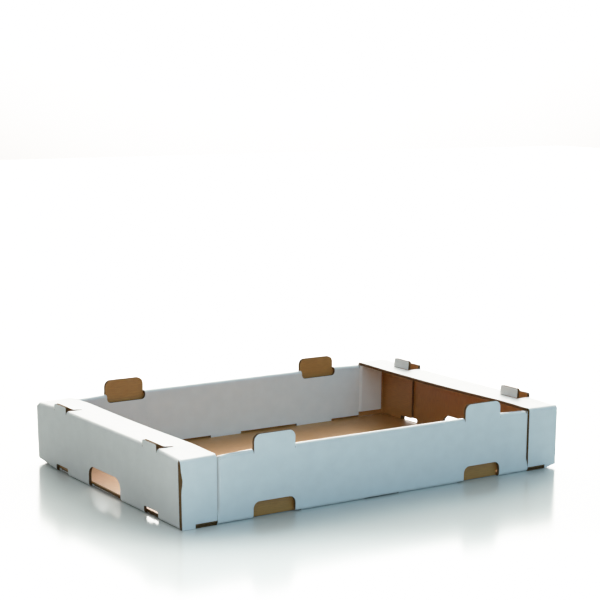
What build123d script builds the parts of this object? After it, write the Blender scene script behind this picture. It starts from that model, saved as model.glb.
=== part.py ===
"""Corrugated tray that stacks: one die-cut sheet with rolled-over long walls, a ledge
over each end wall, stacking tabs, and small tongues that swing up out of the ledges.
Origin at the centre of the underside, X along the tray, Z up. All sizes in millimetres."""

import os

from build123d import *

# The sheet and the tray's outside
tray_length = 600.0
tray_width = 400.0
board = 4.0
fold_radius = 4.5
stacking_play = 1.0

# Long walls: an outer panel, a narrow top strip and an inner panel
wall_height = 85.0
wall_thickness = 10.5
inner_panel_lift = 3.0
centre_foot_width = 52.0
side_foot_width = 65.0
side_foot_from_centre = 159.0

# Stacking tabs on the long walls, with the windows they leave and the notches they fit
tab_from_centre = 166.0
tab_width = 61.0
tab_rise = 20.0
tab_corner = 9.0
window_drop = 11.5
window_corner = 6.0

# Ledges and end walls
ledge_width = 52.0
end_tab_from_centre = 125.0
end_tab_width = 35.0
end_tab_rise = 5.0
end_tab_corner = 2.5
end_cut_height = 10.0
slit = 0.8
slit_depth = 3.0
hand_hole_width = 89.0
hand_hole_height = 29.0
hand_hole_corner = 14.0

# Tongues in the ledges, with the crease measured from the tray's end
tongue_crease = 24.0
tongue_length = 13.0
tongue_corner = 2.5
tongue_play = 0.6
crease_gap = 0.4
tongue_rest_angle = {"left": 6.0, "right": 84.0}

# Corners: flaps hanging from the ledge, long-wall ends tucked behind them, and end flaps
corner_flap_width = 51.0
corner_flap_gap = 0.5
corner_foot_width = 20.0
corner_relief = 5.5
jog_length = 5.0
lap_gap = 0.5
end_flap_length = 84.0
inner_flap_jog = 4.0
inner_flap_end = 14.0
inner_flap_bottom = 12.5

# Places worked out from the sizes above
half_length = tray_length / 2
half_width = tray_width / 2
ledge_top = wall_height + board
inner_radius = fold_radius - board
wall_inner_face = half_width - wall_thickness
jog_end = half_length - corner_flap_width - corner_flap_gap
jog_start = jog_end - jog_length
tucked_outer_face = half_width - board
tucked_inner_face = tucked_outer_face - board
inner_flap_outer_face = tucked_inner_face - lap_gap
inner_flap_inner_face = inner_flap_outer_face - board
end_inner_face = half_length - board
end_flap_inner_face = end_inner_face - board
notch_depth = board + stacking_play
notch_height = tab_rise + stacking_play / 2
foot_top = board + inner_panel_lift
crease_x = half_length - tongue_crease
flap_root = half_width - fold_radius - corner_flap_gap
slot_width = end_tab_width + 2 * slit
fold_lip_height = fold_radius + 2 * lap_gap


def folded_section(outer_face, inner_face):
    """Draw the closed section of a folded board from the corners of its two faces."""
    outer_line = FilletPolyline(*outer_face, radius=fold_radius)
    inner_line = FilletPolyline(*inner_face, radius=inner_radius)
    Line(outer_line @ 1, inner_line @ 0)
    Line(inner_line @ 1, outer_line @ 0)


def arch(centre, width, foot, crown, corner):
    """Draw a closed outline with a straight foot and two rounded corners at its crown."""
    left = centre - width / 2
    right = centre + width / 2
    sides = FilletPolyline((left, foot), (left, crown), (right, crown), (right, foot), radius=corner)
    Line(sides @ 1, sides @ 0)


# The sheet is drawn as its right front quarter, then mirrored twice
with BuildPart() as tray_sheet:
    # Floor, outer panel, top strip and inner panel of the long wall
    with BuildSketch(Plane.YZ):
        with BuildLine():
            folded_section(
                [
                    (0, 0),
                    (-half_width, 0),
                    (-half_width, wall_height),
                    (-wall_inner_face, wall_height),
                    (-wall_inner_face, foot_top),
                ],
                [
                    (-wall_inner_face - board, foot_top),
                    (-wall_inner_face - board, wall_height - board),
                    (-half_width + board, wall_height - board),
                    (-half_width + board, board),
                    (0, board),
                ],
            )
        make_face()
    extrude(amount=jog_start)

    # Floor's fold, carried on below the tucked end as far as the corner flap
    with BuildSketch(Plane.YZ.offset(jog_start)):
        with BuildLine():
            folded_section(
                [(-wall_inner_face, 0), (-half_width, 0), (-half_width, fold_lip_height)],
                [(-half_width + board, fold_lip_height), (-half_width + board, board), (-wall_inner_face, board)],
            )
        make_face()
    extrude(amount=jog_end - jog_start)

    # Floor, end wall and ledge
    with BuildSketch(Plane.XZ):
        with BuildLine():
            folded_section(
                [(0, 0), (half_length, 0), (half_length, ledge_top), (half_length - ledge_width, ledge_top)],
                [
                    (half_length - ledge_width, wall_height),
                    (end_inner_face, wall_height),
                    (end_inner_face, board),
                    (0, board),
                ],
            )
        make_face()
    extrude(amount=half_width - fold_radius)

    # Feet of the inner panel, standing on the floor
    with BuildSketch(Plane.XZ.offset(wall_inner_face)):
        with Locations((centre_foot_width / 4, board + inner_panel_lift / 2)):
            Rectangle(centre_foot_width / 2, inner_panel_lift)
        with Locations((side_foot_from_centre, board + inner_panel_lift / 2)):
            Rectangle(side_foot_width, inner_panel_lift)
    extrude(amount=board)

    # Window that the stacking tab leaves in the strip and the inner panel
    with BuildSketch(Plane.XZ.offset(wall_inner_face)):
        with BuildLine():
            arch(tab_from_centre, tab_width, wall_height, wall_height - window_drop, window_corner)
        make_face()
    extrude(amount=wall_thickness - board, mode=Mode.SUBTRACT)

    # Stacking tab, in one plane with the outer panel
    with BuildSketch(Plane.XZ.offset(half_width - board)):
        with BuildLine():
            arch(tab_from_centre, tab_width, wall_height - fold_radius, wall_height + tab_rise, tab_corner)
        make_face()
    extrude(amount=board)

    # Notch that takes the stacking tab of a tray below
    with BuildSketch(Plane.XZ.offset(half_width)):
        with BuildLine():
            arch(tab_from_centre, tab_width + stacking_play, 0, notch_height, tab_corner)
        make_face()
    extrude(amount=-notch_depth, mode=Mode.SUBTRACT)

    # Long wall's outer panel, stepped in behind the corner flap and turned along the end wall
    with BuildSketch(Plane.XY.offset(board + lap_gap)):
        with BuildLine():
            folded_section(
                [
                    (jog_start, -half_width),
                    (jog_end, -tucked_outer_face),
                    (end_inner_face, -tucked_outer_face),
                    (end_inner_face, -half_width + end_flap_length),
                ],
                [
                    (end_flap_inner_face, -half_width + end_flap_length),
                    (end_flap_inner_face, -tucked_inner_face),
                    (jog_end, -tucked_inner_face),
                    (jog_start, -half_width + board),
                ],
            )
        make_face()
    extrude(amount=wall_height - board - lap_gap)

    # Free end of the inner panel, stepped in beside it
    with BuildSketch(Plane.XY.offset(inner_flap_bottom)):
        with BuildLine():
            Polyline(
                (jog_start, -wall_inner_face),
                (jog_start + inner_flap_jog, -inner_flap_inner_face),
                (half_length - inner_flap_end, -inner_flap_inner_face),
                (half_length - inner_flap_end, -inner_flap_outer_face),
                (jog_start + inner_flap_jog, -inner_flap_outer_face),
                (jog_start, -wall_inner_face - board),
                close=True,
            )
        make_face()
    extrude(amount=wall_height - inner_flap_bottom)

    # Top strip over the tucked end, under the ledge
    with BuildSketch(Plane.XY.offset(wall_height - board)):
        with BuildLine():
            Polyline(
                (jog_start, -half_width),
                (jog_end, -tucked_outer_face),
                (half_length - inner_flap_end, -tucked_outer_face),
                (half_length - inner_flap_end, -inner_flap_inner_face),
                (jog_start + inner_flap_jog, -inner_flap_inner_face),
                (jog_start, -wall_inner_face),
                close=True,
            )
        make_face()
    extrude(amount=board)

    # Corner flap, folded down from the ledge and glued to the tucked end
    with BuildSketch(Plane.YZ.offset(half_length - corner_flap_width)):
        with BuildLine():
            folded_section(
                [(-flap_root, ledge_top), (-half_width, ledge_top), (-half_width, 0)],
                [(-tucked_outer_face, 0), (-tucked_outer_face, wall_height), (-flap_root, wall_height)],
            )
        make_face()
    extrude(amount=corner_flap_width - corner_flap_gap)

    # Relief under the corner flap, where the floor's cut edge shows
    relief_width = corner_flap_width - corner_foot_width
    relief_centre = half_length - corner_foot_width - relief_width / 2
    with BuildSketch(Plane.XZ.offset(half_width)):
        with Locations((relief_centre, corner_relief / 2)):
            Rectangle(relief_width, corner_relief)
    extrude(amount=-board, mode=Mode.SUBTRACT)
    with BuildSketch(Plane.XY):
        with Locations((relief_centre, -half_width + fold_radius / 2 + corner_flap_gap)):
            Rectangle(relief_width, fold_radius)
    extrude(amount=board)

    # Slot in the ledge, with slits beside the end wall's stacking tab
    with BuildSketch(Plane.XY.offset(ledge_top - board)):
        with Locations(((crease_x + end_inner_face) / 2, -end_tab_from_centre)):
            Rectangle(end_inner_face - crease_x, slot_width)
    extrude(amount=board, mode=Mode.SUBTRACT)
    with BuildSketch(Plane.YZ.offset(end_inner_face)):
        with Locations((-end_tab_from_centre, ledge_top - slit_depth / 2)):
            Rectangle(slot_width, slit_depth)
    extrude(amount=board, mode=Mode.SUBTRACT)

    # End wall's stacking tab
    with BuildSketch(Plane.YZ.offset(end_inner_face)):
        with BuildLine():
            arch(
                -end_tab_from_centre,
                end_tab_width,
                ledge_top - fold_radius,
                ledge_top + end_tab_rise,
                end_tab_corner,
            )
        make_face()
    extrude(amount=board)

    # Cut-outs at the foot of the end wall: half of the hand hole, and one for a tab below
    with BuildSketch(Plane.YZ.offset(half_length)):
        with BuildLine():
            arch(0, hand_hole_width, 0, hand_hole_height, hand_hole_corner)
        make_face()
        with BuildLine():
            arch(-end_tab_from_centre, end_tab_width + stacking_play, 0, end_cut_height, end_tab_corner)
        make_face()
    extrude(amount=-notch_depth, mode=Mode.SUBTRACT)
    with BuildSketch(Plane.YZ.offset(end_inner_face)):
        with BuildLine():
            arch(-end_tab_from_centre, end_tab_width + stacking_play, board, end_cut_height, end_tab_corner)
        make_face()
    extrude(amount=-board, mode=Mode.SUBTRACT)

    mirror(about=Plane.YZ)
    mirror(about=Plane.XZ)

# One tongue per slot, turned about the upper edge of its crease to where it rests
tongue_width = slot_width - 2 * tongue_play
tongues = {}
for end, end_sign in (("left", -1), ("right", 1)):
    for side, side_sign in (("front", -1), ("rear", 1)):
        ledge_plane = Plane(
            origin=(end_sign * crease_x, side_sign * end_tab_from_centre, ledge_top),
            x_dir=(0, -end_sign, 0),
            z_dir=(0, 0, 1),
        )
        with BuildPart() as tongue:
            with BuildSketch(ledge_plane.rotated((0, -end_sign * tongue_rest_angle[end], 0))):
                with BuildLine():
                    arch(0, tongue_width, crease_gap, crease_gap + tongue_length, tongue_corner)
                make_face()
            extrude(amount=-board)
        tongues["tongue_" + end + "_" + side] = tongue

os.makedirs("parts", exist_ok=True)
tray_sheet.part.label = "tray_sheet"
export_step(tray_sheet.part, "parts/tray_sheet.step")
for name, tongue in tongues.items():
    tongue.part.label = name
    export_step(tongue.part, "parts/" + name + ".step")
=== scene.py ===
"""A white-lined corrugated tray in a studio.

The tray is one die-cut blank. blank_loops() draws the flat blank, fold_blank() bends it into the tray, and
board_mesh() gives the board its thickness, its white and brown liners and its fluted cut edges."""

import math

import bpy
import numpy as np
from mathutils import Matrix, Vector
from mathutils.geometry import delaunay_2d_cdt


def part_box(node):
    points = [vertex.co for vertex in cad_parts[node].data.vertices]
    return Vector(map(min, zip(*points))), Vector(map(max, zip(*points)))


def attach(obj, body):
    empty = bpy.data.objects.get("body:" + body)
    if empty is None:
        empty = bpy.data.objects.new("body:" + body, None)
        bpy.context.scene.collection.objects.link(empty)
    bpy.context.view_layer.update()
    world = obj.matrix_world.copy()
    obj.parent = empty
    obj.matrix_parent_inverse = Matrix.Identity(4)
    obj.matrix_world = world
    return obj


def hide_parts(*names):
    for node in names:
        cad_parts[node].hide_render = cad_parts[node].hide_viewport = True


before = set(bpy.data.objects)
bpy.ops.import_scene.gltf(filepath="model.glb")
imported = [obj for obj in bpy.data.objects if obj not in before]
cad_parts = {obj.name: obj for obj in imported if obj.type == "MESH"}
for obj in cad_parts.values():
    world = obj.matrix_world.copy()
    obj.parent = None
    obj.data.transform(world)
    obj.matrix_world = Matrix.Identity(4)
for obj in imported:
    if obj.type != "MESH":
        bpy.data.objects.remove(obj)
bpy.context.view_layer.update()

MM = 0.001

# The sheet and the tray's outside, in millimetres, with the overall size read from the frame
_, tray_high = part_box("tray_sheet")
HALF_LENGTH = tray_high[0] / MM
HALF_WIDTH = tray_high[1] / MM
BOARD = 4.0
FOLD_RADIUS = 4.5
TIGHT_RADIUS = FOLD_RADIUS - BOARD
LAP_GAP = 0.5
KERF = 0.4
STACKING_PLAY = 1.0
SLOT_PLAY = 0.3

# Long walls. The slots that the inner panels' feet drop into reach up a share of the bend at the wall's foot
WALL_TOP = 85.0
WALL_THICKNESS = 10.5
FOOT_LIFT = 3.0
CENTRE_FOOT = 52.0
SIDE_FOOT = 65.0
SIDE_FOOT_X = 159.0
TAB_X = 166.0
TAB_WIDTH = 61.0
TAB_TOP = tray_high[2] / MM
TAB_CORNER = 9.0
WINDOW_DROP = 11.5
WINDOW_CORNER = 6.0
NOTCH_WIDTH = TAB_WIDTH + STACKING_PLAY
NOTCH_HEIGHT = 20.5
NOTCH_DEPTH = BOARD + STACKING_PLAY
FOOT_SLOT_DEPTH = WALL_THICKNESS + SLOT_PLAY
FOOT_CLEARANCE = 0.4
FOOT_PLAY = 1.2
FOOT_SLOT_SHARE = 0.55

# End walls and ledges
LEDGE_TOP = WALL_TOP + BOARD
LEDGE_WIDTH = 52.0
END_TAB_Y = 125.0
END_TAB_WIDTH = 35.0
END_TAB_RISE = 5.0
END_TAB_CORNER = 2.5
SLIT = 0.8
END_CUT_WIDTH = END_TAB_WIDTH + STACKING_PLAY
END_CUT_HEIGHT = 10.0
HAND_HOLE_WIDTH = 89.0
HAND_HOLE_HEIGHT = 29.0
HAND_HOLE_CORNER = 14.0
TONGUE_CREASE = 24.0
TONGUE_LENGTH = 13.4
TONGUE_WIDTH = 35.4
TONGUE_CORNER = 2.5
CREASE_GAP = 0.4
TONGUE_REST = {"left": 6.0, "right": 84.0}

# Corners
CORNER_FLAP = 51.0
CORNER_GAP = 0.5
CORNER_FOOT = 20.0
CORNER_RELIEF = 5.5
JOG_LENGTH = 5.0
END_FLAP = 84.0
INNER_FLAP_JOG = 4.0
INNER_FLAP_END = 14.0
INNER_FLAP_BOTTOM = 12.5
JOG_END = HALF_LENGTH - CORNER_FLAP - CORNER_GAP
JOG_START = JOG_END - JOG_LENGTH
JOG_FULL_HEIGHT = 22.0
STRIP_REACH = 3.5
STRIP_MARGIN_LOW = 0.2
STRIP_MARGIN_HIGH = 0.1

# Set that the board has taken, in millimetres, for left and right or front and rear: end walls that lean
# out towards the top, ledge corners that sag, bottom corners that curl up, corner flaps that stand off the
# end wall with a bruise part of the way up, ledges that dip in the middle of their free edge, and long walls
# that rise a little towards one end
END_LEAN = np.array([2.4, 1.0])
CORNER_SAG = np.array([[3.0, 3.2], [2.4, -1.0]])
CORNER_CURL = np.array([[0.0, 5.0], [4.0, 0.0]])
FLAP_GAPE = np.array([[0.6, 0.0], [0.0, 0.0]])
BRUISE = 3.6
BRUISE_HEIGHT = 62.0
BRUISE_REACH = 9.0
LEDGE_DIP = 1.7
WALL_RISE = np.array([1.2, 1.6])
WALL_TILT = np.array([0.0, 1.3])

# Where each set starts and where it is full, as distances across, along or up the tray
SAG_ACROSS = (130.0, HALF_WIDTH)
SAG_ALONG = (225.0, 262.0)
CURL_ACROSS = (150.0, HALF_WIDTH)
CURL_ALONG = (276.0, HALF_LENGTH)
CURL_TOP = 45.0
GAPE_DOWN = (LEDGE_TOP - 1, LEDGE_TOP - 9)
GAPE_ALONG = (284.0, 298.0)
DIP_ALONG = (292.0, HALF_LENGTH - LEDGE_WIDTH)
DIP_FROM = WALL_TOP - 1
RISE_ACROSS = (180.0, 188.0)
RISE_ALONG = (247.0, 237.0)

# Corrugation: the flutes run across the tray, so cuts along its length show their waves. Swing, liner, paper
# and edge step are shares of the board's thickness, and the last value is the share of the recess that is
# left where a cut follows the flutes
FLUTE_PITCH = 7.5
FLUTE_SWING = 0.33
LINER_SHARE = 0.08
HALF_PAPER = 0.04
EDGE_STEP = 0.01
CUT_RECESS = 2.2
PAPER_RECESS = CUT_RECESS / 5
ALONG_FLUTES = 0.1

# Mesh: steps along cuts that cross the flutes and that follow them, over the panels and round bends, margins
# beside folds and round panels, points that are sorted at a time, and the angle that counts as an edge
FLUTE_STEP = FLUTE_PITCH / 8
LONG_STEP = 6.0
PANEL_STEP = 20.0
ARC_STEPS = 8
FOLD_MARGIN = 0.8
PANEL_MARGIN = 1.0
POINTS_AT_A_TIME = 2000
SHARP_ANGLE = 35.0

# Signs that mirror one quarter of the blank to all four
QUARTERS = ([1, 1], [1, -1], [-1, 1], [-1, -1])


def bent_line(corners, radii):
    """A line through corners with an arc at each inner corner, as a function of the distance along it.

    Its heading is h0 + k (s - s0), where k is 0 on a straight run and 1 / radius on an arc, and its points
    are the integral of that heading. The function returns the points and the normals on the left.
    Also returned: the distances where the stretches begin, and the whole length."""
    corners = np.asarray(corners, float)
    runs = np.diff(corners, axis=0)
    headings = np.unwrap(np.arctan2(runs[:, 1], runs[:, 0]))
    turns = np.append(np.diff(headings), 0.0)
    radii = np.append(radii, 0.0)
    cuts = radii * np.tan(np.abs(turns) / 2)
    straights = np.hypot(runs[:, 0], runs[:, 1]) - cuts - np.append(0.0, cuts[:-1])
    arcs = radii * np.abs(turns)
    lengths = np.stack([straights, arcs], 1).ravel()
    starts = np.append(0.0, np.cumsum(lengths))
    curves = np.stack([np.zeros(len(radii)), np.sign(turns) / np.maximum(radii, 1e-9)], 1).ravel()
    heads = np.stack([headings, headings], 1).ravel()

    def advance(distance, heading, curve):
        """Movement along one stretch: straight, or round an arc."""
        bent = np.abs(curve * distance) > 1e-9
        safe = np.where(bent, curve, 1.0)
        end = heading + curve * distance
        across = np.where(bent, (np.sin(end) - np.sin(heading)) / safe, distance * np.cos(heading))
        up = np.where(bent, (np.cos(heading) - np.cos(end)) / safe, distance * np.sin(heading))
        return np.stack([across, up], -1)

    points = corners[0] + np.append([[0.0, 0.0]], np.cumsum(advance(lengths, heads, curves), axis=0), axis=0)

    def along(distance):
        """Points and left-hand normals at distances along the line."""
        stretch = np.clip(np.searchsorted(starts, distance, side="right") - 1, 0, len(lengths) - 2)
        beyond = distance - starts[stretch]
        heading = heads[stretch] + curves[stretch] * beyond
        normals = np.stack([-np.sin(heading), np.cos(heading)], -1)
        return points[stretch] + advance(beyond, heads[stretch], curves[stretch]), normals

    return along, starts[:-2], starts[-2]


# Sections of the folded board, each drawn along its white face with the brown face on its left
INNER_FACE = HALF_WIDTH - WALL_THICKNESS
long_chain, long_marks, _ = bent_line(
    [(0, 0), (HALF_WIDTH, 0), (HALF_WIDTH, WALL_TOP), (INNER_FACE, WALL_TOP), (INNER_FACE, 0)],
    [FOLD_RADIUS] * 3,
)
end_chain, end_marks, _ = bent_line(
    [(0, 0), (HALF_LENGTH, 0), (HALF_LENGTH, LEDGE_TOP), (HALF_LENGTH - LEDGE_WIDTH, LEDGE_TOP)],
    [FOLD_RADIUS] * 2,
)
flap_chain, flap_marks, _ = bent_line([(0, 0), (HALF_WIDTH, 0), (HALF_WIDTH, LEDGE_TOP)], [FOLD_RADIUS])
# Straight lead of the sections that step aside, and how far their first crease lies beyond the step's start
JOG_LEAD = 20.0
CREASE_LEAD = FOLD_RADIUS * math.tan(math.atan2(BOARD, JOG_LENGTH) / 2)
tuck_chain, tuck_marks, tuck_length = bent_line(
    [
        (JOG_START - JOG_LEAD, 0),
        (JOG_START + CREASE_LEAD, 0),
        (JOG_END, BOARD),
        (HALF_LENGTH - BOARD, BOARD),
        (HALF_LENGTH - BOARD, END_FLAP),
    ],
    [FOLD_RADIUS, TIGHT_RADIUS, FOLD_RADIUS],
)
INNER_FLAP_FACE = HALF_WIDTH - 3 * BOARD - LAP_GAP
inner_chain, inner_marks, inner_length = bent_line(
    [
        (JOG_START - JOG_LEAD, INNER_FACE),
        (JOG_START + TIGHT_RADIUS, INNER_FACE),
        (JOG_START + INNER_FLAP_JOG, INNER_FLAP_FACE),
        (HALF_LENGTH - INNER_FLAP_END, INNER_FLAP_FACE),
    ],
    [TIGHT_RADIUS, FOLD_RADIUS],
)

# Places on the flat blank. Across the tray: floor's edge, outer panel, top strip, inner panel
V_FLOOR, V_WALL, V_CROWN, V_STRIP, V_STRIP_END, V_INNER = long_marks[1:7]
# Along the tray: floor's edge, end wall, fold, ledge
U_FLOOR, U_WALL, U_CROWN, U_LEDGE = end_marks[1:5]
U_TUCK_END = JOG_START - JOG_LEAD + tuck_length
U_INNER_END = JOG_START - JOG_LEAD + inner_length
U_FLAP_START = U_LEDGE - (FOLD_RADIUS - CORNER_GAP)


def v_wall(z):
    """Place on the blank of height z on a long wall's outer panel."""
    return V_WALL + z - FOLD_RADIUS


def v_inner(z):
    """Place on the blank of height z on a long wall's inner panel."""
    return V_INNER + WALL_TOP - FOLD_RADIUS - z


def v_flap(z):
    """Place on the blank of height z on a corner flap."""
    return flap_marks[2] + LEDGE_TOP - FOLD_RADIUS - z


def u_wall(z):
    """Place on the blank of height z on an end wall."""
    return U_WALL + z - FOLD_RADIUS


def u_ledge(x):
    """Place on the blank of a ledge point at distance x from the tray's middle."""
    return U_LEDGE + HALF_LENGTH - FOLD_RADIUS - x


# A tab's share of the blank is a little shorter than the window it was cut from
WINDOW_EDGE = v_inner(WALL_TOP - WINDOW_DROP)
TAB_EDGE = WINDOW_EDGE - KERF
TAB_STRETCH = (TAB_TOP - WALL_TOP + FOLD_RADIUS) / (TAB_EDGE - V_CROWN)
END_TAB_EDGE = U_CROWN + FOLD_RADIUS + END_TAB_RISE
STRIP_END = JOG_END + STRIP_REACH
STRIP_LOW = V_STRIP + STRIP_MARGIN_LOW
STRIP_HIGH = V_INNER - FOLD_RADIUS - STRIP_MARGIN_HIGH


def rounded_loop(corners, radii):
    """A closed outline through corners, each rounded by its radius, with points close enough for the flutes.

    Corner arcs are swept in equal turns, and each straight run is divided evenly."""
    corners = np.asarray(corners, float)
    radii = np.broadcast_to(np.asarray(radii, float), len(corners))
    before = corners - np.roll(corners, 1, axis=0)
    after = np.roll(corners, -1, axis=0) - corners
    before /= np.hypot(before[:, 0], before[:, 1])[:, None]
    after /= np.hypot(after[:, 0], after[:, 1])[:, None]
    cross = before[:, 0] * after[:, 1] - before[:, 1] * after[:, 0]
    turn = np.arctan2(cross, (before * after).sum(1))
    cut = radii * np.tan(np.abs(turn) / 2)
    stops = []
    for corner, into, angle, radius, back in zip(corners, before, turn, radii, cut):
        if radius == 0:
            stops.append(corner[None])
            continue
        sweep = np.linspace(0, 1, ARC_STEPS + 1)[:, None] * angle
        left = np.array([-into[1], into[0]]) * np.sign(angle)
        start = corner - into * back
        stops.append(start + radius * (np.sin(np.abs(sweep)) * into + (1 - np.cos(sweep)) * left))
    stops = np.concatenate(stops)
    ends = np.roll(stops, -1, axis=0)
    spans = np.abs(ends - stops)
    counts = np.ceil(np.maximum(spans[:, 0] / FLUTE_STEP, spans[:, 1] / LONG_STEP)).astype(int)
    counts = np.maximum(counts, 1)
    first = np.repeat(np.cumsum(counts) - counts, counts)
    share = ((np.arange(counts.sum()) - first) / np.repeat(counts, counts))[:, None]
    return np.repeat(stops, counts, axis=0) * (1 - share) + np.repeat(ends, counts, axis=0) * share


def blank_loops():
    """The blank's outline and its holes, in the flat, drawn for one quarter and mirrored to the others."""
    foot, lifted = v_inner(FOOT_CLEARANCE), v_inner(BOARD + FOOT_LIFT)
    side_foot = (SIDE_FOOT_X - SIDE_FOOT / 2, SIDE_FOOT_X + SIDE_FOOT / 2)
    notch_left, notch_right = TAB_X - NOTCH_WIDTH / 2, TAB_X + NOTCH_WIDTH / 2
    end_cut_low = HALF_WIDTH - END_TAB_Y - END_CUT_WIDTH / 2
    u_end_cut = U_TUCK_END - (END_FLAP - end_cut_low)
    floor_lip = HALF_WIDTH - CORNER_GAP
    wall_side = [
        (CENTRE_FOOT / 2, foot),
        (CENTRE_FOOT / 2, lifted),
    ]
    short_foot = [
        (side_foot[0], lifted),
        (side_foot[0], foot),
        (side_foot[1], foot),
        (side_foot[1], lifted),
    ]
    long_foot = short_foot[:-2] + [(notch_right - KERF, v) for v in (foot, lifted)]
    tucked_end = [
        (JOG_START, lifted),
        (JOG_START, v_inner(INNER_FLAP_BOTTOM)),
        (U_INNER_END, v_inner(INNER_FLAP_BOTTOM)),
        (U_INNER_END, v_inner(WALL_TOP)),
        (JOG_START + KERF, v_inner(WALL_TOP)),
        (JOG_START + KERF, V_INNER),
        (JOG_START, V_INNER),
        (JOG_START, STRIP_HIGH),
        (STRIP_END, STRIP_HIGH),
        (STRIP_END, STRIP_LOW),
        (JOG_END, STRIP_LOW),
        (JOG_START, V_CROWN + FOLD_RADIUS + KERF),
        (JOG_START, V_CROWN),
        (JOG_START + KERF / 4, V_CROWN),
        (JOG_START + KERF / 4, v_wall(WALL_TOP)),
        (U_TUCK_END, v_wall(WALL_TOP)),
        (U_TUCK_END, v_wall(END_CUT_HEIGHT)),
        (u_end_cut, v_wall(END_CUT_HEIGHT)),
        (u_end_cut, V_WALL),
        (JOG_END + KERF, V_WALL),
        (JOG_END + KERF, v_wall(JOG_FULL_HEIGHT)),
        (JOG_END, v_wall(JOG_FULL_HEIGHT)),
        (JOG_END, V_FLOOR),
        (HALF_LENGTH - CORNER_FLAP, V_FLOOR),
        (HALF_LENGTH - CORNER_FLAP, floor_lip),
        (HALF_LENGTH - CORNER_FOOT, floor_lip),
        (HALF_LENGTH - CORNER_FOOT, V_FLOOR),
    ]
    flap_to_corner = [
        (U_LEDGE, V_FLOOR),
        (U_LEDGE, V_FLOOR + KERF),
        (U_FLAP_START, V_FLOOR + KERF),
        (U_FLAP_START, v_flap(0)),
    ]
    wall_to_corner = [
        (U_FLOOR, V_FLOOR),
        (U_FLOOR, floor_lip),
        (U_CROWN, floor_lip),
        (U_CROWN, V_FLOOR),
        (U_LEDGE, V_FLOOR),
        (U_LEDGE, v_flap(0)),
    ]
    ledge_edge = [
        (u_ledge(HALF_LENGTH - CORNER_FOOT), v_flap(0)),
        (u_ledge(HALF_LENGTH - CORNER_FOOT), v_flap(CORNER_RELIEF)),
        (u_ledge(HALF_LENGTH - CORNER_FLAP), v_flap(CORNER_RELIEF)),
        (u_ledge(HALF_LENGTH - CORNER_FLAP), V_FLOOR),
        (u_ledge(HALF_LENGTH - LEDGE_WIDTH), V_FLOOR),
    ]
    front = np.array(wall_side + long_foot + tucked_end + flap_to_corner + ledge_edge)
    rear = np.array(wall_side + short_foot + tucked_end + wall_to_corner + ledge_edge)
    outline = np.concatenate([rear, (front * [1, -1])[::-1], front * [-1, -1], (rear * [-1, 1])[::-1]])
    loops = [rounded_loop(outline, 0.0)]

    notch_foot, notch_crown = HALF_WIDTH - FOOT_SLOT_DEPTH, v_wall(NOTCH_HEIGHT)
    slot_top = V_FLOOR + FOOT_SLOT_SHARE * (V_WALL - V_FLOOR)
    notch = rounded_loop(
        [
            (side_foot[0] - FOOT_PLAY, notch_foot),
            (side_foot[0] - FOOT_PLAY, slot_top),
            (notch_left, slot_top),
            (notch_left, notch_crown),
            (notch_right, notch_crown),
            (notch_right, notch_foot),
        ],
        [0, 0, 0, TAB_CORNER, TAB_CORNER, 0],
    )
    half_window, half_tab = TAB_WIDTH / 2, TAB_WIDTH / 2 - KERF
    window = rounded_loop(
        [
            (TAB_X - half_window, V_CROWN),
            (TAB_X - half_window, WINDOW_EDGE),
            (TAB_X + half_window, WINDOW_EDGE),
            (TAB_X + half_window, V_CROWN),
            (TAB_X + half_tab, V_CROWN),
            (TAB_X + half_tab, TAB_EDGE),
            (TAB_X - half_tab, TAB_EDGE),
            (TAB_X - half_tab, V_CROWN),
        ],
        [0, WINDOW_CORNER, WINDOW_CORNER, 0, 0, TAB_CORNER, TAB_CORNER, 0],
    )
    cut_low, cut_high = END_TAB_Y - END_CUT_WIDTH / 2, END_TAB_Y + END_CUT_WIDTH / 2
    cut_foot, cut_crown = HALF_LENGTH - NOTCH_DEPTH, u_wall(END_CUT_HEIGHT)
    end_cut = rounded_loop(
        [(cut_foot, cut_low), (cut_crown, cut_low), (cut_crown, cut_high), (cut_foot, cut_high)],
        [0, END_TAB_CORNER, END_TAB_CORNER, 0],
    )
    half_slot, half_end_tab = END_TAB_WIDTH / 2 + SLIT, END_TAB_WIDTH / 2
    crease = u_ledge(HALF_LENGTH - TONGUE_CREASE)
    slot = rounded_loop(
        [
            (U_CROWN, END_TAB_Y - half_slot),
            (crease, END_TAB_Y - half_slot),
            (crease, END_TAB_Y + half_slot),
            (U_CROWN, END_TAB_Y + half_slot),
            (U_CROWN, END_TAB_Y + half_end_tab),
            (END_TAB_EDGE, END_TAB_Y + half_end_tab),
            (END_TAB_EDGE, END_TAB_Y - half_end_tab),
            (U_CROWN, END_TAB_Y - half_end_tab),
        ],
        [0, 0, 0, 0, 0, END_TAB_CORNER, END_TAB_CORNER, 0],
    )
    for loop in (notch, window, end_cut, slot):
        loops += [loop * signs for signs in QUARTERS]

    half_hole = HAND_HOLE_WIDTH / 2
    hand_hole = rounded_loop(
        [
            (cut_foot, -half_hole),
            (u_wall(HAND_HOLE_HEIGHT), -half_hole),
            (u_wall(HAND_HOLE_HEIGHT), half_hole),
            (cut_foot, half_hole),
        ],
        [0, HAND_HOLE_CORNER, HAND_HOLE_CORNER, 0],
    )
    half_slit = CENTRE_FOOT / 2 + FOOT_PLAY
    foot_slit = rounded_loop(
        [(-half_slit, notch_foot), (-half_slit, slot_top), (half_slit, slot_top), (half_slit, notch_foot)],
        0.0,
    )
    return loops + [hand_hole, hand_hole * [-1, 1], foot_slit, foot_slit * [1, -1]]


def fold_rows(start, end):
    """Lines across an arc of the fold, evenly spaced, with one more close by on each side of it."""
    arc = np.linspace(start, end, ARC_STEPS + 1)
    return np.concatenate([[start - FOLD_MARGIN], arc, [end + FOLD_MARGIN]])


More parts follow.
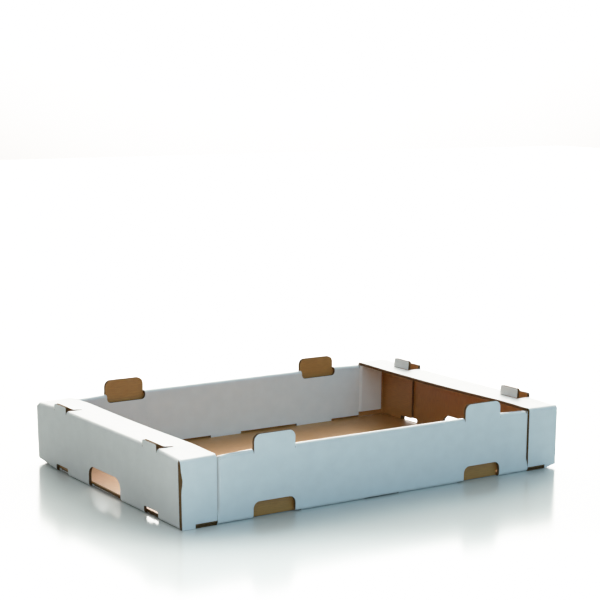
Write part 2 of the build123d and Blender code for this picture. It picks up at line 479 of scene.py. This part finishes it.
def blank_creases():
    """Straight lines that the blank's triangles keep to, so that each fold bends in even steps."""
    flap_low, flap_high = U_FLAP_START, u_ledge(HALF_LENGTH - LEDGE_WIDTH)
    tuck_low, tuck_high = V_WALL, v_wall(WALL_TOP)
    inner_low, inner_high = v_inner(WALL_TOP), v_inner(INNER_FLAP_BOTTOM)
    shift = JOG_START - JOG_LEAD
    lines = []
    for start, end in ((V_FLOOR, V_WALL), (V_CROWN, V_STRIP), (V_STRIP_END, V_INNER)):
        lines += [((-JOG_START, v), (JOG_START, v)) for v in fold_rows(start, end)]
    above_fold = np.linspace(V_WALL, v_wall(JOG_FULL_HEIGHT), ARC_STEPS + 1)[1:]
    jog_rows = np.append(fold_rows(V_FLOOR, V_WALL), above_fold)
    lines += [((JOG_START, v), (JOG_END, v)) for v in jog_rows]
    for start, end in ((U_FLOOR, U_WALL), (U_CROWN, U_LEDGE)):
        lines += [((u, -HALF_WIDTH), (u, HALF_WIDTH)) for u in fold_rows(start, end)]
    lines += [((flap_low, v), (flap_high, v)) for v in fold_rows(*flap_marks[1:3])]
    for first in (1, 3, 5):
        rows = fold_rows(*tuck_marks[first:first + 2] + shift)
        lines += [((u, tuck_low), (u, tuck_high)) for u in rows]
    for first in (1, 3):
        rows = fold_rows(*inner_marks[first:first + 2] + shift)
        lines += [((u, inner_low), (u, inner_high)) for u in rows]
    quarter = np.array(lines)
    return np.concatenate([quarter * signs for signs in QUARTERS])


def inside(points, loops):
    """True where a point lies within an odd number of loops.

    A ray from such a point to the right crosses an odd number of edges."""
    starts = np.concatenate(loops)
    ends = np.concatenate([np.roll(loop, -1, axis=0) for loop in loops])
    rise = ends[:, 1] - starts[:, 1]
    slope = (ends[:, 0] - starts[:, 0]) / np.where(rise == 0, 1.0, rise)
    odd = [
        (
            ((starts[:, 1] > part[:, 1:]) != (ends[:, 1] > part[:, 1:]))
            & (part[:, :1] < starts[:, 0] + slope * (part[:, 1:] - starts[:, 1]))
        ).sum(1)
        for part in np.array_split(points, max(1, len(points) // POINTS_AT_A_TIME))
    ]
    return np.concatenate(odd) % 2 == 1


def triangulate(loops, lines, spacing):
    """Triangles over the area inside the loops, keeping to their edges and to the given lines."""
    points = np.concatenate(loops)
    lengths = np.array([len(loop) for loop in loops])
    first = np.repeat(np.cumsum(lengths) - lengths, lengths)
    index = np.arange(len(points))
    following = first + (index - first + 1) % np.repeat(lengths, lengths)
    edges = np.stack([index, following], 1)
    if len(lines):
        line_points = np.reshape(lines, (-1, 2))
        line_index = len(points) + np.arange(len(line_points)).reshape(-1, 2)
        points = np.concatenate([points, line_points])
        edges = np.concatenate([edges, line_index])
    low, high = points.min(0), points.max(0)
    grid = np.stack(np.meshgrid(*[np.arange(a + spacing / 2, b, spacing) for a, b in zip(low, high)]), -1)
    points = np.concatenate([points, grid.reshape(-1, 2)])
    result = delaunay_2d_cdt(points.tolist(), edges.tolist(), [], 0, 1e-4)
    flat = np.array([tuple(p) for p in result[0]])
    triangles = np.array(result[2])
    triangles = triangles[inside(flat[triangles].mean(1), loops)]
    used, renumbered = np.unique(triangles, return_inverse=True)
    return flat[used], renumbered.reshape(-1, 3)


def ease(start, end, value):
    """Smooth step from 0 at start to 1 at end: 3 t squared less 2 t cubed."""
    t = np.clip((value - start) / (end - start), 0, 1)
    return t * t * (3 - 2 * t)


def settle(points):
    """The set that the board has taken.

    The lean draws points in towards the floor, by the fourth power of their distance along the tray. The
    sag lowers the corners in proportion to their height, and the curl raises what is low in the bottom
    corners. The gape draws a flap's white face along from its free edge, with a bell of height for the
    bruise. The dip is a squared parabola across the tray, and the rise grows with height and dies out again
    towards the tabs' tops."""
    x, y, z = points.T
    along, across = np.abs(x), np.abs(y)
    end, side = (x > 0).astype(int), (y > 0).astype(int)
    lean = END_LEAN[end] * np.maximum(1 - z / LEDGE_TOP, 0) * (along / HALF_LENGTH) ** 4
    sag = CORNER_SAG[end, side] * ease(*SAG_ACROSS, across) * ease(*SAG_ALONG, along) * z / LEDGE_TOP
    curl = CORNER_CURL[end, side] * ease(*CURL_ACROSS, across) * ease(*CURL_ALONG, along)
    curl = curl * np.maximum(1 - z / CURL_TOP, 0)
    bruise = 1 + BRUISE * np.exp(-((z - BRUISE_HEIGHT) / BRUISE_REACH) ** 2)
    gape = FLAP_GAPE[end, side] * bruise * ease(*GAPE_DOWN, z) * ease(*GAPE_ALONG, along)
    gape = gape * np.clip((across - HALF_WIDTH) / BOARD + 1, 0, 1)
    dip = LEDGE_DIP * (1 - (y / HALF_WIDTH) ** 2) ** 2 * ease(*DIP_ALONG, along)
    dip = dip * (z > DIP_FROM) * (across < INNER_FACE)
    rise = WALL_RISE[side] + WALL_TILT[side] * x / JOG_START
    rise = rise * ease(*RISE_ACROSS, across) * ease(*RISE_ALONG, along)
    rise = rise * np.clip(np.minimum(z / WALL_TOP, (TAB_TOP - z) / (TAB_TOP - WALL_TOP)), 0, 1)
    return np.stack([x - np.sign(x) * (lean + gape), y, z - sag + curl - dip + rise], -1)


def lift(across, rise, spread, normal_across, normal_rise, axis):
    """Points and normals in space from a section's two values and the distance along its fold.

    axis 0 means the section lies across Y and Z with the fold along X; axis 1 the other way round."""
    zero = np.zeros_like(across)
    if axis == 0:
        return np.stack([spread, across, rise], -1), np.stack([zero, normal_across, normal_rise], -1)
    return np.stack([across, spread, rise], -1), np.stack([normal_across, zero, normal_rise], -1)


def bend(chain, distance):
    """Points and normals of a section, each as two rows: across and up."""
    return [part.T for part in chain(distance)]


def fold_blank(flat, depth):
    """Bends the blank into the tray: the white face's point plus depth times the normal to the brown face.

    Each panel takes its place from the section that it belongs to, as a function of the distance from the
    blank's middle. Tabs stay in the plane of their wall, where the board beside them bends away."""
    signs = np.where(flat < 0, -1.0, 1.0)
    u, v = np.abs(flat).T

    # Floor and long walls, with the fold along X
    (o, z), (no, nz) = bend(long_chain, v)
    place, normal = lift(o, z, u, no, nz, 0)

    # Floor's corners stay flat beyond the ends of the long walls' folds
    corner_floor = (u > JOG_END + KERF / 2) & (v < (V_FLOOR + V_WALL) / 2 + PANEL_MARGIN)
    place[corner_floor] = np.stack([u, v, np.zeros_like(u)], -1)[corner_floor]
    normal[corner_floor] = (0, 0, 1)

    # Stacking tabs, straight up from the outer panel
    tab = (np.abs(u - TAB_X) < TAB_WIDTH / 2 - KERF / 2) & (v > V_CROWN) & (v < TAB_EDGE + KERF / 2)
    core = np.stack([np.abs(u - TAB_X) - TAB_WIDTH / 2 + KERF + TAB_CORNER, v - TAB_EDGE + TAB_CORNER], -1)
    tab &= np.hypot(*np.maximum(core, 0).T) < TAB_CORNER + KERF / 2
    tab_rise = WALL_TOP - FOLD_RADIUS + (v - V_CROWN) * TAB_STRETCH
    place[tab] = np.stack([u, np.full_like(u, HALF_WIDTH), tab_rise], -1)[tab]
    normal[tab] = (0, -1, 0)

    # Outer panel's end, stepped in behind the corner flap and turned along the end wall
    shift = u - JOG_START + JOG_LEAD
    tucked = (u > JOG_START) & (u < U_TUCK_END + PANEL_MARGIN)
    tucked &= (v > V_WALL - KERF) & (v < v_wall(WALL_TOP) + KERF / 4)
    (x, inward), (nx, ni) = bend(tuck_chain, shift)
    step = np.where(u < JOG_END + KERF / 2, ease(V_WALL, v_wall(JOG_FULL_HEIGHT), v), 1.0)
    x, inward, nx, ni = u + (x - u) * step, inward * step, nx * step, 1 + (ni - 1) * step
    place[tucked] = np.stack([x, HALF_WIDTH - inward, v - V_WALL + FOLD_RADIUS], -1)[tucked]
    normal[tucked] = np.stack([nx, -ni, np.zeros_like(nx)], -1)[tucked]

    # Inner panel's free end
    free_end = (u > JOG_START + KERF / 4) & (u < U_INNER_END + PANEL_MARGIN)
    free_end &= v > v_inner(WALL_TOP) - KERF / 8
    (x, o), (nx, no) = bend(inner_chain, shift)
    place[free_end] = np.stack([x, o, V_INNER + WALL_TOP - FOLD_RADIUS - v], -1)[free_end]
    normal[free_end] = np.stack([nx, no, np.zeros_like(nx)], -1)[free_end]

    # End walls and ledges, with the fold along Y
    end = (u > U_FLOOR) & ((v < V_FLOOR + KERF / 2) | ((u < U_CROWN + KERF) & (v < HALF_WIDTH)))
    (x, z), (nx, nz) = bend(end_chain, u)
    end_place, end_normal = lift(x, z, v, nx, nz, 1)
    end_tab = np.abs(v - END_TAB_Y) < END_TAB_WIDTH / 2 + SLIT / 2
    end_tab &= (u > U_CROWN) & (u < END_TAB_EDGE + KERF)
    end_tab_rise = LEDGE_TOP - FOLD_RADIUS + u - U_CROWN
    end_place[end_tab] = np.stack([np.full_like(u, HALF_LENGTH), v, end_tab_rise], -1)[end_tab]
    end_normal[end_tab] = (-1, 0, 0)
    place[end], normal[end] = end_place[end], end_normal[end]

    # Corner flaps, folded down from the ledges
    flap = (u > U_FLAP_START - KERF) & (v > V_FLOOR + KERF / 4)
    (o, drop), (no, nd) = bend(flap_chain, v)
    flap_x = HALF_LENGTH - FOLD_RADIUS - (u - U_LEDGE)
    flap_place, flap_normal = lift(o, LEDGE_TOP - drop, flap_x, no, -nd, 0)
    place[flap], normal[flap] = flap_place[flap], flap_normal[flap]

    mirror = np.concatenate([signs, np.ones((len(flat), 1))], 1)
    return settle((place + normal * depth[:, None]) * mirror)


def board_mesh(name, flat, triangles, fold):
    """A sheet of corrugated board as one closed mesh.

    The flat triangles are folded twice, as the white face and as the brown face one board deeper. Along
    each cut edge a strip of rows joins them: white liner, hollow, the fluted middle, hollow, brown liner.
    The middle lies at half the depth plus a sine of the distance across the flutes, and the hollows are set
    back, by most where the cut crosses the flutes and by least where it runs along them."""
    count = len(flat)
    directed = np.concatenate([triangles[:, [0, 1]], triangles[:, [1, 2]], triangles[:, [2, 0]]])
    keys = directed[:, 0] * count + directed[:, 1]
    rim = directed[~np.isin(keys, directed[:, 1] * count + directed[:, 0])]
    run = flat[rim[:, 1]] - flat[rim[:, 0]]
    left = np.stack([-run[:, 1], run[:, 0]], 1) / np.hypot(run[:, 0], run[:, 1])[:, None]
    inward = np.zeros((count, 2))
    np.add.at(inward, rim[:, 0], left)
    np.add.at(inward, rim[:, 1], left)
    rim_points = np.unique(rim)
    inward = inward[rim_points]
    inward /= np.maximum(np.hypot(inward[:, 0], inward[:, 1]), 1e-6)[:, None]

    middle = 0.5 + FLUTE_SWING * np.sin(2 * math.pi * flat[rim_points, 0] / FLUTE_PITCH)
    white_back = np.full_like(middle, LINER_SHARE)
    brown_back = 1 - white_back
    rows = [
        (white_back, 0.0),
        (white_back + EDGE_STEP, CUT_RECESS),
        (middle - HALF_PAPER - EDGE_STEP, CUT_RECESS),
        (middle - HALF_PAPER, PAPER_RECESS),
        (middle + HALF_PAPER, PAPER_RECESS),
        (middle + HALF_PAPER + EDGE_STEP, CUT_RECESS),
        (brown_back - EDGE_STEP, CUT_RECESS),
        (brown_back, 0.0),
    ]
    opened = ALONG_FLUTES + (1 - ALONG_FLUTES) * np.abs(inward[:, 1:])
    row_flat = [flat[rim_points] + inward * opened * recess for _, recess in rows]
    all_flat = np.concatenate([flat, flat] + row_flat)
    row_depths = [share * BOARD for share, _ in rows]
    depths = np.concatenate([np.zeros(count), np.full(count, BOARD)] + row_depths)
    vertices = fold(all_flat, depths)

    place = np.zeros(count, int)
    place[rim_points] = np.arange(len(rim_points))
    levels = [rim]
    levels += [2 * count + k * len(rim_points) + place[rim] for k in range(len(rows))]
    levels += [count + rim]
    strips = [
        np.stack([one[:, 0], one[:, 1], two[:, 1], two[:, 0]], 1) for one, two in zip(levels[:-1], levels[1:])
    ]
    quads = np.concatenate(strips)
    faces = np.concatenate([triangles[:, ::-1].ravel(), (triangles + count).ravel(), quads.ravel()])
    triangle_total = 2 * len(triangles)
    starts = np.concatenate([np.arange(triangle_total) * 3, triangle_total * 3 + np.arange(len(quads)) * 4])
    liners = np.concatenate([np.zeros(len(triangles)), np.ones(len(triangles)), np.full(len(quads), 2)])

    mesh = bpy.data.meshes.new(name)
    mesh.vertices.add(len(vertices))
    mesh.vertices.foreach_set("co", (vertices * MM).ravel())
    mesh.loops.add(len(faces))
    mesh.loops.foreach_set("vertex_index", faces.astype(np.int32))
    mesh.polygons.add(len(starts))
    mesh.polygons.foreach_set("loop_start", starts.astype(np.int32))
    mesh.polygons.foreach_set("material_index", liners.astype(np.int32))
    mesh.polygons.foreach_set("use_smooth", np.ones(len(starts), bool))
    sheet_map = mesh.uv_layers.new(name="sheet")
    sheet_map.data.foreach_set("uv", (all_flat[faces] * MM).ravel())
    mesh.update(calc_edges=True)
    mesh.validate()
    mesh.set_sharp_from_angle(angle=math.radians(SHARP_ANGLE))
    board = bpy.data.objects.new(name, mesh)
    bpy.context.collection.objects.link(board)
    for material in (white_liner, brown_liner, cut_edge):
        mesh.materials.append(material)
    return board


# Patterns in the papers, in millimetres: size of clouds, fibres, streaks along and across, flecks and torn
# fibre, and height of the relief. The last value is the scale at which a wave repeats once per flute
CLOUD_SIZE = 18.0
FIBRE_SIZE = 1.5
STREAK_SIZES = (12.0, 1.5)
FLECK_SIZE = 2.2
TEAR_SIZE = 1.2
RELIEF = 0.2
RIB_SCALE = math.pi / 10 / (FLUTE_PITCH * MM)


def linear(colour):
    """An sRGB hex colour as linear red, green, blue and alpha."""
    channels = np.array([int(colour[i:i + 2], 16) for i in (1, 3, 5)]) / 255
    channels = np.where(channels <= 0.04045, channels / 12.92, ((channels + 0.055) / 1.055) ** 2.4)
    return (*channels.tolist(), 1.0)


def add(tree, kind, inputs=None, **settings):
    """Adds a node, sets its settings, and sets or links its inputs."""
    node = tree.nodes.new(kind)
    for key, value in settings.items():
        setattr(node, key, value)
    for key, value in (inputs or {}).items():
        if isinstance(value, bpy.types.NodeSocket):
            tree.links.new(value, node.inputs[key])
        else:
            node.inputs[key].default_value = value
    return node


def new_material(name):
    """An empty node material and its tree."""
    material = bpy.data.materials.new(name)
    material.use_nodes = True
    material.node_tree.nodes.clear()
    return material, material.node_tree


def bleached_liner():
    """White-topped liner: bleached fibre over brown, calendered on the machine.

    It gives the eye a cool matt white with faint clouds, and the ribs of the flutes just showing through."""
    material, tree = new_material("bleached_white_top_liner")
    sheet = add(tree, "ShaderNodeUVMap", uv_map="sheet").outputs["UV"]
    clouds = add(tree, "ShaderNodeTexNoise", {"Vector": sheet, "Scale": 1 / (CLOUD_SIZE * MM), "Detail": 4.0})
    tint = add(tree, "ShaderNodeValToRGB", {"Fac": clouds.outputs["Fac"]})
    tint.color_ramp.elements[0].position = 0.3
    tint.color_ramp.elements[0].color = linear("#E8E8E7")
    tint.color_ramp.elements[1].position = 0.7
    tint.color_ramp.elements[1].color = linear("#EDEDEC")
    ribs = add(tree, "ShaderNodeTexWave", {"Vector": sheet, "Scale": RIB_SCALE})
    ribs.inputs["Distortion"].default_value = 0.6
    fibre = add(tree, "ShaderNodeTexNoise", {"Vector": sheet, "Scale": 1 / (FIBRE_SIZE * MM), "Detail": 3.0})
    relief = add(tree, "ShaderNodeMath", {0: ribs.outputs["Fac"], 1: fibre.outputs["Fac"]}, operation="ADD")
    bump = add(tree, "ShaderNodeBump", {"Height": relief.outputs[0], "Distance": RELIEF * MM})
    bump.inputs["Strength"].default_value = 0.12
    inputs = {"Base Color": tint.outputs["Color"], "Normal": bump.outputs[0]}
    shader = add(tree, "ShaderNodeBsdfPrincipled", inputs)
    shader.inputs["Roughness"].default_value = 0.55
    shader.inputs["Specular IOR Level"].default_value = 0.25
    add(tree, "ShaderNodeOutputMaterial", {"Surface": shader.outputs[0]})
    return material


def kraft_liner():
    """Unbleached kraft liner, straight off the paper machine.

    It gives the eye a warm tan with fibres drawn out along the sheet and darker flecks of bark."""
    material, tree = new_material("unbleached_kraft_liner")
    sheet = add(tree, "ShaderNodeUVMap", uv_map="sheet").outputs["UV"]
    stretch = (*[1 / (size * MM) for size in STREAK_SIZES], 1.0)
    drawn = add(tree, "ShaderNodeMapping", {"Vector": sheet, "Scale": stretch})
    streaks = add(tree, "ShaderNodeTexNoise", {"Vector": drawn.outputs[0], "Scale": 1.0, "Detail": 5.0})
    tint = add(tree, "ShaderNodeValToRGB", {"Fac": streaks.outputs["Fac"]})
    tint.color_ramp.elements[0].position = 0.28
    tint.color_ramp.elements[0].color = linear("#AD7538")
    tint.color_ramp.elements[1].position = 0.72
    tint.color_ramp.elements[1].color = linear("#C08846")
    flecks = add(tree, "ShaderNodeTexNoise", {"Vector": sheet, "Scale": 1 / (FLECK_SIZE * MM), "Detail": 2.0})
    dark = add(tree, "ShaderNodeValToRGB", {"Fac": flecks.outputs["Fac"]})
    dark.color_ramp.elements[0].position = 0.66
    dark.color_ramp.elements[1].position = 0.74
    dark.color_ramp.elements[0].color = (0, 0, 0, 1)
    dark.color_ramp.elements[1].color = (0.5, 0.5, 0.5, 1)
    inputs = {0: dark.outputs["Color"], 6: tint.outputs["Color"]}
    colour = add(tree, "ShaderNodeMix", inputs, data_type="RGBA")
    colour.inputs[7].default_value = linear("#7A5228")
    ribs = add(tree, "ShaderNodeTexWave", {"Vector": sheet, "Scale": RIB_SCALE})
    relief = add(tree, "ShaderNodeMath", {0: ribs.outputs["Fac"], 1: streaks.outputs["Fac"]}, operation="ADD")
    bump = add(tree, "ShaderNodeBump", {"Height": relief.outputs[0], "Distance": RELIEF * MM})
    bump.inputs["Strength"].default_value = 0.15
    inputs = {"Base Color": colour.outputs[2], "Normal": bump.outputs[0]}
    shader = add(tree, "ShaderNodeBsdfPrincipled", inputs)
    shader.inputs["Roughness"].default_value = 0.43
    shader.inputs["IOR"].default_value = 1.6
    add(tree, "ShaderNodeOutputMaterial", {"Surface": shader.outputs[0]})
    return material


def die_cut_edge():
    """Raw edge of the board where the die cut through it.

    It gives the eye torn brown fibre, darker than the liner partly through its own raw fibre and partly as
    painted shade for the shade that lies in cut edges, and quite without shine."""
    material, tree = new_material("die_cut_board_edge_and_painted_shade")
    place = add(tree, "ShaderNodeTexCoord").outputs["Object"]
    fibre = add(tree, "ShaderNodeTexNoise", {"Vector": place, "Scale": 1 / (TEAR_SIZE * MM), "Detail": 3.0})
    tint = add(tree, "ShaderNodeValToRGB", {"Fac": fibre.outputs["Fac"]})
    # Both colours are partly the raw fibre's own brown and partly painted shade, darkened to stand for the
    # shade that falls in the cut edges
    tint.color_ramp.elements[0].position = 0.3
    tint.color_ramp.elements[0].color = linear("#5A4126")
    tint.color_ramp.elements[1].position = 0.7
    tint.color_ramp.elements[1].color = linear("#7E5E38")
    shader = add(tree, "ShaderNodeBsdfPrincipled", {"Base Color": tint.outputs["Color"]})
    shader.inputs["Roughness"].default_value = 0.9
    shader.inputs["IOR"].default_value = 1.35
    add(tree, "ShaderNodeOutputMaterial", {"Surface": shader.outputs[0]})
    return material


white_liner = bleached_liner()
brown_liner = kraft_liner()
cut_edge = die_cut_edge()


def build_tray():
    """The folded sheet, in place of its plain solid."""
    loops = blank_loops()
    flat, triangles = triangulate(loops, blank_creases(), PANEL_STEP)
    tray = board_mesh("folded_tray", flat, triangles, fold_blank)
    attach(tray, "tray")
    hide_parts("tray_sheet")


def build_tongue(end, side):
    """One ledge tongue, raised about its crease to the angle where it rests.

    A point at distance s from the crease and t across lies at s cos(angle) outwards and s sin(angle) up, and
    the brown face one board further along the normal that points down and outwards."""
    outwards = -1.0 if end == "left" else 1.0
    middle = END_TAB_Y if side == "rear" else -END_TAB_Y
    crease = HALF_LENGTH - TONGUE_CREASE
    angle = math.radians(TONGUE_REST[end])
    half = TONGUE_WIDTH / 2
    outline = rounded_loop(
        [(CREASE_GAP, -half), (TONGUE_LENGTH, -half), (TONGUE_LENGTH, half), (CREASE_GAP, half)],
        [0, TONGUE_CORNER, TONGUE_CORNER, 0],
    )

    def raise_tongue(flat, depth):
        """The tongue's points in space, from distance and place across in the flat and from depth."""
        reach = flat[:, 0] * math.cos(angle) + depth * math.sin(angle)
        rise = flat[:, 0] * math.sin(angle) - depth * math.cos(angle)
        return np.stack([outwards * (crease + reach), middle + outwards * -flat[:, 1], LEDGE_TOP + rise], -1)

    flat, triangles = triangulate([outline], [], PANEL_STEP)
    tongue = board_mesh("ledge_tongue_" + end + "_" + side, flat, triangles, raise_tongue)
    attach(tongue, "tongue_body_" + end + "_" + side)
    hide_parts("tongue_" + end + "_" + side)


build_tray()
for end in ("left", "right"):
    for side in ("front", "rear"):
        build_tongue(end, side)


# Table: its side, how far it lies below the tray, and the size of its haze, in metres
FLOOR_SIZE = 14.0
FLOOR_DROP = 0.0003
HAZE_SIZE = 0.35


def build_floor():
    """White acrylic table, cast and polished: pale, with a soft mirror image at a low angle."""
    material, tree = new_material("polished_white_acrylic")
    place = add(tree, "ShaderNodeTexCoord").outputs["Object"]
    haze = add(tree, "ShaderNodeTexNoise", {"Vector": place, "Scale": 1 / HAZE_SIZE, "Detail": 2.0})
    gloss = add(tree, "ShaderNodeMapRange", {"Value": haze.outputs["Fac"], "To Min": 0.15, "To Max": 0.19})
    shader = add(tree, "ShaderNodeBsdfPrincipled", {"Roughness": gloss.outputs[0]})
    shader.inputs["Base Color"].default_value = linear("#CFD4D3")
    shader.inputs["IOR"].default_value = 1.5
    add(tree, "ShaderNodeOutputMaterial", {"Surface": shader.outputs[0]})
    half = FLOOR_SIZE / 2
    square = ((-half, -half), (half, -half), (half, half), (-half, half))
    corners = [(x, y, -FLOOR_DROP) for x, y in square]
    mesh = bpy.data.meshes.new("studio_table")
    mesh.from_pydata(corners, [], [(0, 1, 2, 3)])
    mesh.materials.append(material)
    table = bpy.data.objects.new("studio_table", mesh)
    bpy.context.collection.objects.link(table)


# Camera, fitted to the straight edges in the photograph: place and sensor in millimetres, angles in degrees,
# focal length and picture in pixels, and the farthest distance that it sees, in metres
CAMERA_PLACE = (-1216.9, -1817.7, 545.4)
CAMERA_AZIMUTH = 33.875
CAMERA_DIP = 8.179
CAMERA_ROLL = 0.494
FOCAL_PIXELS = 1611.2
IMAGE_PIXELS = 600
SENSOR_WIDTH = 36.0
SIGHT = 50.0


def build_camera():
    """A level view line turned by azimuth, dipped and rolled. The lens follows from the focal length."""
    azimuth, dip, roll = (math.radians(a) for a in (CAMERA_AZIMUTH, CAMERA_DIP, CAMERA_ROLL))
    ahead = np.array([math.sin(azimuth) * math.cos(dip), math.cos(azimuth) * math.cos(dip), -math.sin(dip)])
    right = np.array([math.cos(azimuth), -math.sin(azimuth), 0.0])
    up = np.cross(right, ahead)
    turned_right = math.cos(roll) * right + math.sin(roll) * up
    turned_up = -math.sin(roll) * right + math.cos(roll) * up
    camera = bpy.data.cameras.new("camera")
    camera.sensor_width = SENSOR_WIDTH
    camera.lens = SENSOR_WIDTH * FOCAL_PIXELS / IMAGE_PIXELS
    camera.clip_end = SIGHT
    holder = bpy.data.objects.new("camera", camera)
    pose = np.eye(4)
    pose[:3, :3] = np.stack([turned_right, turned_up, -ahead], 1)
    pose[:3, 3] = np.array(CAMERA_PLACE) * MM
    holder.matrix_world = Matrix(pose.tolist())
    bpy.context.collection.objects.link(holder)
    bpy.context.scene.camera = holder


# Soft glows that light the room. Each has a turn to the right from straight behind the tray and a height,
# both in degrees, a sharpness, and a strength in red, green and blue. Bright behind, cooler towards the front
GLOWS = [
    (0, 32, 10.0, (7.2, 6.9, 6.5)),
    (0, 38, 50.0, (2.5, 2.45, 2.35)),
    (0, 24, 50.0, (2.6, 2.55, 2.5)),
    (20, 45, 50.0, (1.4, 1.37, 1.3)),
    (0, 8, 25.0, (1.3, 1.24, 1.2)),
    (5, 58, 10.0, (1.35, 1.3, 1.19)),
    (45, 32, 10.0, (0.4, 0.34, 0.2)),
    (-45, 32, 10.0, (1.1, 1.0, 0.82)),
    (135, 32, 10.0, (0.4, 0.98, 1.36)),
    (180, 32, 10.0, (0.98, 1.15, 1.2)),
]


def build_room():
    """Room light: the sum of the glows.

    Each is its strength times e to the power of its sharpness times the cosine of the angle from its middle
    less 1."""
    world = bpy.data.worlds.new("studio_room")
    bpy.context.scene.world = world
    world.use_nodes = True
    tree = world.node_tree
    tree.nodes.clear()
    direction = add(tree, "ShaderNodeTexCoord").outputs["Generated"]
    total = (0.0, 0.0, 0.0)
    for turn, height, sharpness, strength in GLOWS:
        azimuth, rise = math.radians(CAMERA_AZIMUTH + turn), math.radians(height)
        middle = (math.sin(azimuth) * math.cos(rise), math.cos(azimuth) * math.cos(rise), math.sin(rise))
        facing = add(tree, "ShaderNodeVectorMath", {0: direction, 1: middle}, operation="DOT_PRODUCT")
        fall_inputs = {0: facing.outputs["Value"], 1: sharpness, 2: -sharpness}
        fall = add(tree, "ShaderNodeMath", fall_inputs, operation="MULTIPLY_ADD")
        glow = add(tree, "ShaderNodeMath", {0: fall.outputs[0]}, operation="EXPONENT")
        lit = add(tree, "ShaderNodeVectorMath", {0: strength, "Scale": glow.outputs[0]}, operation="SCALE")
        total = add(tree, "ShaderNodeVectorMath", {0: total, 1: lit.outputs[0]}, operation="ADD").outputs[0]
    room = add(tree, "ShaderNodeBackground", {"Color": total, "Strength": 1.0})
    add(tree, "ShaderNodeOutputWorld", {"Surface": room.outputs[0]})


# Softbox over the front of the table, with a grid: distance ahead of the camera, height and sides in metres,
# beam in degrees, power in watts
SOFTBOX_AHEAD = 0.82
SOFTBOX_HEIGHT = 1.3
SOFTBOX_SIDES = (9.0, 2.0)
SOFTBOX_BEAM = 10.0
SOFTBOX_POWER = 43.0


def build_softbox():
    """One soft light that hangs level over the table and shines straight down on the part near the camera."""
    light = bpy.data.lights.new("softbox", "AREA")
    light.shape = "RECTANGLE"
    light.size, light.size_y = SOFTBOX_SIDES
    light.spread = math.radians(SOFTBOX_BEAM)
    light.energy = SOFTBOX_POWER
    holder = bpy.data.objects.new("softbox", light)
    azimuth = math.radians(CAMERA_AZIMUTH)
    ahead = np.array([math.sin(azimuth), math.cos(azimuth), 0.0])
    pose = np.eye(4)
    pose[:3, :3] = np.stack([np.cross(ahead, (0, 0, 1)), ahead, (0, 0, 1)], 1)
    pose[:2, 3] = np.array(CAMERA_PLACE[:2]) * MM + ahead[:2] * SOFTBOX_AHEAD
    pose[2, 3] = SOFTBOX_HEIGHT
    holder.matrix_world = Matrix(pose.tolist())
    bpy.context.collection.objects.link(holder)


# Film: the scene's level that comes out white, and the response at shares of it
FILM_WHITE = 2.3
FILM_RESPONSE = [(0.152, 0.35), (0.3, 0.634), (0.45, 0.823), (0.65, 0.954), (0.9, 1.0)]


def set_film():
    """Response of the film: straight in the shadows, with a shoulder that keeps the near whites apart."""
    view = bpy.context.scene.view_settings
    view.view_transform = "Standard"
    view.use_curve_mapping = True
    film = view.curve_mapping
    film.white_level = (FILM_WHITE, FILM_WHITE, FILM_WHITE)
    film.extend = "HORIZONTAL"
    for place, level in FILM_RESPONSE:
        film.curves[3].points.new(place, level)
    film.update()


build_floor()
build_camera()
build_room()
build_softbox()
set_film()
